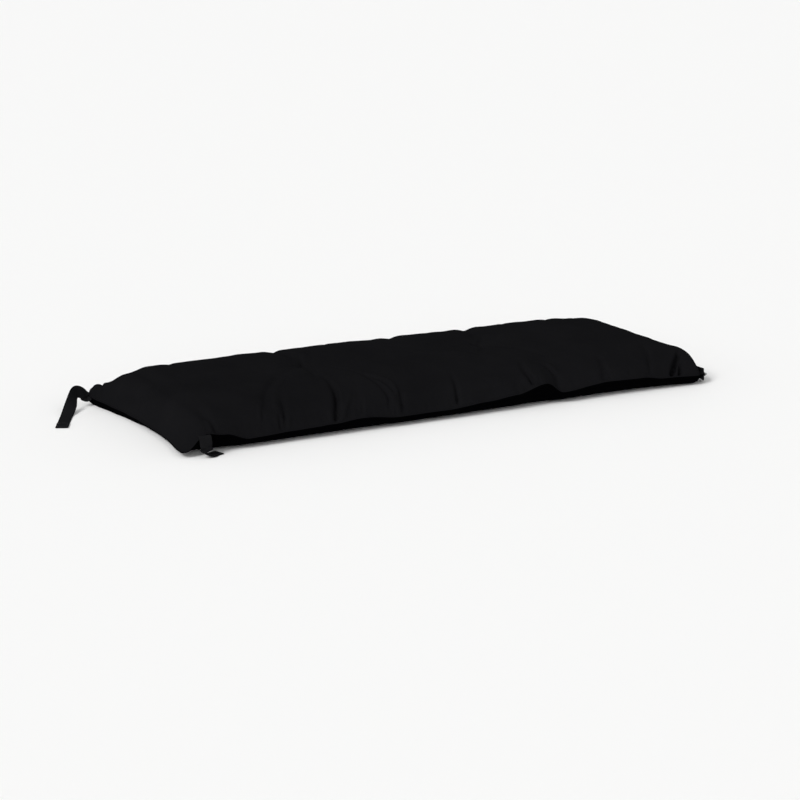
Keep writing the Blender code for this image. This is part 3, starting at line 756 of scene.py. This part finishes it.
def tie_stations(tie):
    """The route's points, the sewn end first: x, y, height and bank."""
    near = np.linspace(-SEAM_SEARCH, SEAM_SEARCH, SEAM_POINTS)
    on_side = abs(tie.v) == 1
    u = np.clip(tie.u + near * on_side, -1, 1)
    v = np.clip(tie.v + near * (not on_side), -1, 1)
    seam = np.column_stack(plan(u, v))
    middle = len(near) // 2
    out = outward(tie)
    left = np.array([-out[1], out[0]])
    beside = np.abs((seam - seam[middle]) @ left) < CLEAR_WIDTH / 2
    bow = ((seam - seam[middle]) @ out)[beside].max()
    root = seam[middle] + (bow + SEAM_GAP) * out
    root_z = section_height(u, v, "seam")[middle] - CAD_THICKNESS / 2
    rows = []
    for run, share in ((-TUCK, TUCKED_SHARE), (SEWN_RUN, 1.0)):
        rows.append(np.array([*(root + run * out), root_z, share * np.radians(tie.sewn_bank)]))
    for station in tie.route:
        place = root + station.out * out + station.left * left
        rows.append(np.array([*place, station.height, np.radians(station.bank)]))
    return rows


def band_frames(tie):
    """Middle point, way across, way up and way ahead at each step of a tie; band folds its hem back
    on top of these.
    """
    route = smooth_route(tie_stations(tie))
    places = [Vector(row[:3]) for row in route]
    frames = []
    for step, (place, bank) in enumerate(zip(places, route[:, 3])):
        ahead = places[min(step + 1, len(places) - 1)] - places[max(step - 1, 0)]
        if step == 0:
            ahead = Vector((*outward(tie), 0))
        level = Vector((-ahead.y, ahead.x, 0)).normalized()
        upward = ahead.normalized().cross(level)
        across = level * np.cos(bank) + upward * np.sin(bank)
        facing = ahead.normalized().cross(across).normalized()
        low = place.copy()
        low.z = max(low.z, abs(across.z) * BAND_WIDTH / 2)
        frames.append((low + facing * BAND_THICKNESS / 2, across, facing, ahead.normalized()))
    return frames


def band(tie):
    """A tie as one woven strip whose end is folded back over itself, and its length as cut."""
    frames = band_frames(tie)
    turn = (BAND_THICKNESS + HEM_GAP) / 2
    end, across, facing, ahead = frames[-1]
    path = [(place, way, up) for place, way, up, _ in frames]
    for angle in np.linspace(0, np.pi, HEM_FOLD_POINTS + 2)[1:-1]:
        offset = ahead * np.sin(angle) * turn + facing * (1 - np.cos(angle)) * turn
        path.append((end + offset, across, facing * np.cos(angle) - ahead * np.sin(angle)))
    walked = 0.0
    for number in range(len(frames) - 1, 0, -1):
        place, way, up, _ = frames[number]
        path.append((place + up * 2 * turn, way, -up))
        walked += (place - frames[number - 1][0]).length
        if walked > HEM_LENGTH:
            break
    body = bmesh.new()
    layer = body.loops.layers.uv.new("weave")
    angles = np.arange(PROFILE_POINTS) * 2 * np.pi / PROFILE_POINTS
    wide = np.sign(np.cos(angles)) * np.abs(np.cos(angles)) ** PROFILE_POWER
    thick = np.sign(np.sin(angles)) * np.abs(np.sin(angles)) ** (1 / (1 + PROFILE_POWER))
    rings = []
    run = 0.0
    runs = []
    for number, (place, way, up) in enumerate(path):
        run += (place - path[max(number - 1, 0)][0]).length
        runs.append(run)
        ring = []
        for w, t in zip(wide, thick):
            # the selvedge is a little fuller than the rest
            fullness = 1 - SELVEDGE_SHARE + SELVEDGE_SHARE * abs(w) ** SELVEDGE_POWER
            full = BAND_THICKNESS / 2 * fullness
            ring.append(body.verts.new(place + way * w * BAND_WIDTH / 2 + up * t * full))
        rings.append(ring)
    sides = close_tube(body, rings)
    spots = {}
    for ring, far in zip(rings, runs):
        for corner, w in zip(ring, wide):
            spots[corner] = (w * BAND_WIDTH / 2, far)
    for face in sides:
        for loop in face.loops:
            loop[layer].uv = spots[loop.vert]
    return finished(tie.name + "_band", body), runs[-1]


def hem_stitches(tie):
    """A box of stitches that holds the hem."""
    frames = band_frames(tie)
    # from the band's middle to the top of its hem
    lift = BAND_THICKNESS / 2 + HEM_GAP + BAND_THICKNESS
    places = [place for place, _, _, _ in frames]
    runs = np.cumsum([0.0] + [(b - a).length for a, b in zip(places, places[1:])])

    def spot(from_end, aside):
        far = runs[-1] - from_end
        number = int(np.clip(np.searchsorted(runs, far) - 1, 0, len(runs) - 2))
        share = (far - runs[number]) / (runs[number + 1] - runs[number])
        (a, way, up, _), (b, _, _, _) = frames[number], frames[number + 1]
        return a.lerp(b, share) + way * aside + up * lift, up

    body = bmesh.new()
    half = BAND_WIDTH / 2 - STITCH_INSET
    first, last = STITCH_INSET, HEM_LENGTH - STITCH_INSET
    corners = [(first, -half), (last, -half), (last, half), (first, half), (first, -half)]
    for (from_a, aside_a), (from_b, aside_b) in zip(corners, corners[1:]):
        length = np.hypot(from_b - from_a, aside_b - aside_a)
        count = max(2, round(length / STITCH_PITCH))
        for number in range(count):
            middle = (number + 0.5) / count
            reach = STITCH_LENGTH / length / 2
            middles = []
            for share in np.linspace(middle - reach, middle + reach, STITCH_RINGS):
                from_end = from_a + (from_b - from_a) * share
                place, up = spot(from_end, aside_a + (aside_b - aside_a) * share)
                bend = ((share - middle) / reach) ** 2
                radius = STITCH_RADIUS * (1 - STITCH_TAPER * bend)
                middles.append((place - up * STITCH_RADIUS * STITCH_DIP * bend, up, radius))
            run = (middles[-1][0] - middles[0][0]).normalized()
            rings = []
            for place, up, radius in middles:
                aside = run.cross(up).normalized()
                rings.append(round_ring(body, place, aside, up, radius, STITCH_SIDES))
            close_tube(body, rings)
    return finished(tie.name + "_stitches", body)


class Nodes:
    """Short ways to build a material."""

    def __init__(self, name):
        self.material = bpy.data.materials.new(name)
        self.material.use_nodes = True
        self.tree = self.material.node_tree
        self.shader = self.tree.nodes["Principled BSDF"]

    def add(self, kind, **settings):
        node = self.tree.nodes.new(kind)
        for key, value in settings.items():
            setattr(node, key, value)
        return node

    def join(self, source, target):
        self.tree.links.new(source, target)

    def math(self, operation, a, b=None):
        node = self.add("ShaderNodeMath", operation=operation)
        for socket, value in zip(node.inputs, (a, b)):
            if value is None:
                continue
            if isinstance(value, (int, float)):
                socket.default_value = value
            else:
                self.join(value, socket)
        return node.outputs[0]

    def noise(self, kind, coordinates):
        node = self.add("ShaderNodeTexNoise")
        node.inputs["Scale"].default_value = kind.scale
        node.inputs["Detail"].default_value = kind.detail
        self.join(coordinates, node.inputs["Vector"])
        return node.outputs["Fac"]


def woven(name, deep, faded, warp, weft, bump_strength, painted_underside_shade=False):
    """Black cloth: crossing threads, slubs, faded patches and a soft sheen; if asked, painted shade
    darkens the lower panel.
    """
    n = Nodes(name)
    place = n.add("ShaderNodeTexCoord")
    split = n.add("ShaderNodeSeparateXYZ")
    n.join(place.outputs["UV"], split.inputs[0])
    sines = []
    for axis, pitch in ((0, warp), (1, weft)):
        turns = n.math("MULTIPLY", split.outputs[axis], 2 * np.pi / pitch)
        sines.append(n.math("SINE", turns))
    threads = n.math("MULTIPLY", *sines)
    slubs = n.math("MULTIPLY", n.noise(SLUBS, place.outputs["Object"]), SLUB_RELIEF)
    height = n.math("ADD", n.math("MULTIPLY", threads, THREAD_RELIEF), slubs)
    bump = n.add("ShaderNodeBump")
    bump.inputs["Strength"].default_value = bump_strength
    bump.inputs["Distance"].default_value = BUMP_DISTANCE
    n.join(height, bump.inputs["Height"])
    n.join(bump.outputs[0], n.shader.inputs["Normal"])
    # faded patches, and the threads' own light and dark
    patches = n.noise(PATCHES, place.outputs["Object"])
    shade = n.math("ADD", n.math("MULTIPLY", threads, THREAD_TONE), patches)
    mix = n.add("ShaderNodeMix", data_type="RGBA")
    mix.inputs["A"].default_value = deep
    mix.inputs["B"].default_value = faded
    n.join(shade, mix.inputs["Factor"])
    cloth = mix.outputs["Result"]
    if painted_underside_shade:
        # painted shade: the lower panel is darkened nearly to black to stand for the shade under
        # the cushion
        lower = n.add("ShaderNodeMix", data_type="RGBA")
        n.join(n.math("GREATER_THAN", split.outputs[1], UNDERSIDE_SHADE_START), lower.inputs["Factor"])
        n.join(cloth, lower.inputs["A"])
        lower.inputs["B"].default_value = UNDERSIDE_SHADE
        cloth = lower.outputs["Result"]
    n.join(cloth, n.shader.inputs["Base Color"])
    rough = n.add("ShaderNodeMapRange")
    for socket, value in zip(("To Min", "To Max"), CLOTH_ROUGHNESS):
        rough.inputs[socket].default_value = value
    n.join(n.noise(WEAR, place.outputs["Object"]), rough.inputs["Value"])
    n.join(rough.outputs[0], n.shader.inputs["Roughness"])
    n.shader.inputs["Specular IOR Level"].default_value = 0.0
    n.shader.inputs["Sheen Weight"].default_value = SHEEN_WEIGHT
    n.shader.inputs["Sheen Roughness"].default_value = SHEEN_ROUGHNESS
    n.shader.inputs["Sheen Tint"].default_value = SHEEN_TINT
    return n.material


def thread_material():
    """Black thread with a paler fuzz."""
    n = Nodes("black sewing thread")
    place = n.add("ShaderNodeTexCoord")
    mix = n.add("ShaderNodeMix", data_type="RGBA")
    mix.inputs["A"].default_value = BAND_DEEP
    mix.inputs["B"].default_value = THREAD_PALE
    n.join(n.noise(FUZZ, place.outputs["Object"]), mix.inputs["Factor"])
    n.join(mix.outputs["Result"], n.shader.inputs["Base Color"])
    n.shader.inputs["Roughness"].default_value = THREAD_ROUGHNESS
    return n.material


def floor():
    """A pale plain floor, far wider than the view."""
    body = bmesh.new()
    bmesh.ops.create_grid(
        body, x_segments=FLOOR_CELLS, y_segments=FLOOR_CELLS, size=FLOOR_REACH
    )
    mesh = bpy.data.meshes.new("studio_floor")
    body.to_mesh(mesh)
    body.free()
    made = link("studio_floor", mesh)
    made.location.z = -FLOOR_DROP
    paint = bpy.data.materials.new("pale floor")
    paint.use_nodes = True
    shader = paint.node_tree.nodes["Principled BSDF"]
    shader.inputs["Base Color"].default_value = FLOOR_PAINT
    shader.inputs["Roughness"].default_value = FLOOR_ROUGHNESS
    mesh.materials.append(paint)
    return made


def light(name, comes_from, spread, power):
    """A soft light that is even over the whole floor."""
    lamp = bpy.data.lights.new(name, "SUN")
    lamp.angle = np.radians(spread)
    lamp.energy = power
    made = link(name, lamp)
    made.location = comes_from
    made.rotation_euler = Vector(comes_from).to_track_quat("Z", "Y").to_euler()


def studio():
    """A white sky that dims towards the top, and the lights."""
    world = bpy.data.worlds.new("soft studio")
    world.use_nodes = True
    tree = world.node_tree
    background = tree.nodes["Background"]
    background.inputs["Color"].default_value = (1.0, 1.0, 1.0, 1.0)
    way = tree.nodes.new("ShaderNodeTexCoord")
    split = tree.nodes.new("ShaderNodeSeparateXYZ")
    tree.links.new(way.outputs["Generated"], split.inputs[0])
    dim = tree.nodes.new("ShaderNodeMapRange")
    dim.interpolation_type = "SMOOTHSTEP"
    sockets = ("From Min", "From Max", "To Min", "To Max")
    for socket, value in zip(sockets, (*SKY_DIMS, SKY_LOW, SKY_HIGH)):
        dim.inputs[socket].default_value = value
    tree.links.new(split.outputs["Z"], dim.inputs["Value"])
    tree.links.new(dim.outputs[0], background.inputs["Strength"])
    bpy.context.scene.world = world
    for lamp in LIGHTS:
        light(*lamp)
    bpy.context.scene.view_settings.view_transform = "Standard"


def camera():
    """The camera, from its place, the way it looks and its roll."""
    azimuth, elevation, roll = np.radians([CAMERA_AZIMUTH, CAMERA_ELEVATION, CAMERA_ROLL])
    level = np.cos(elevation)
    back = Vector((np.sin(azimuth) * level, -np.cos(azimuth) * level, np.sin(elevation)))
    right = (-back).cross(Vector((0, 0, 1))).normalized()
    up = right.cross(-back)
    tilted_right = right * np.cos(roll) + up * np.sin(roll)
    tilted_up = up * np.cos(roll) - right * np.sin(roll)
    lens = bpy.data.cameras.new("camera")
    lens.lens = CAMERA_LENS
    lens.sensor_width = SENSOR
    lens.shift_x, lens.shift_y = CAMERA_SHIFT
    lens.clip_end = CAMERA_FAR
    made = link("camera", lens)
    turned = Matrix((tilted_right, tilted_up, back)).transposed().to_4x4()
    made.matrix_world = Matrix.Translation(CAMERA_AT) @ turned
    bpy.context.scene.camera = made


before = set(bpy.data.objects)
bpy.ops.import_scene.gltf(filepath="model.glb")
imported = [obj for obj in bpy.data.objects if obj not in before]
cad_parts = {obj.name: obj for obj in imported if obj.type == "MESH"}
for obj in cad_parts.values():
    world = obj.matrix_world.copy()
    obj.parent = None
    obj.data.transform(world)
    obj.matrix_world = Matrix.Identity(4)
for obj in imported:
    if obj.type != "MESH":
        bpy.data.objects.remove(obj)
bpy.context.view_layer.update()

cushion_cloth = woven(
    "black woven cover",
    BLACK_DEEP,
    BLACK_FADED,
    THREAD_PITCH,
    THREAD_PITCH,
    COVER_BUMP,
    painted_underside_shade=True,
)
band_cloth = woven(
    "black woven band", BAND_DEEP, BAND_FADED, THREAD_PITCH, RIB_PITCH, BAND_BUMP
)
sewing_thread = thread_material()

cushion = cover()
cushion.data.materials.append(cushion_cloth)
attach(cushion, "root")
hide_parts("cushion")

points = np.array([vertex.co for vertex in cushion.data.vertices])
for side, knot in zip(("left", "right"), TUFTS):
    near = np.hypot(points[:, 0] - knot.x, points[:, 1] - knot.y) < KNOT_REACH
    heights = points[near, 2]
    upper = heights[heights > KNOT_HEIGHT].min()
    lower = heights[heights < KNOT_HEIGHT].max()
    for place, height, lift in (("top", upper + THREAD_RADIUS, 1), ("under", lower, -1)):
        thread = tuft_threads(f"tuft_thread_{side}_{place}", knot, height, lift)
        thread.data.materials.append(sewing_thread)
        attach(thread, "root")

for tie in TIES:
    strip, length = band(tie)
    strip.data.materials.append(band_cloth)
    stitches = hem_stitches(tie)
    stitches.data.materials.append(sewing_thread)
    for piece in (strip, stitches):
        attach(piece, "root")
    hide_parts(tie.name)

ground = floor()
studio()
camera()
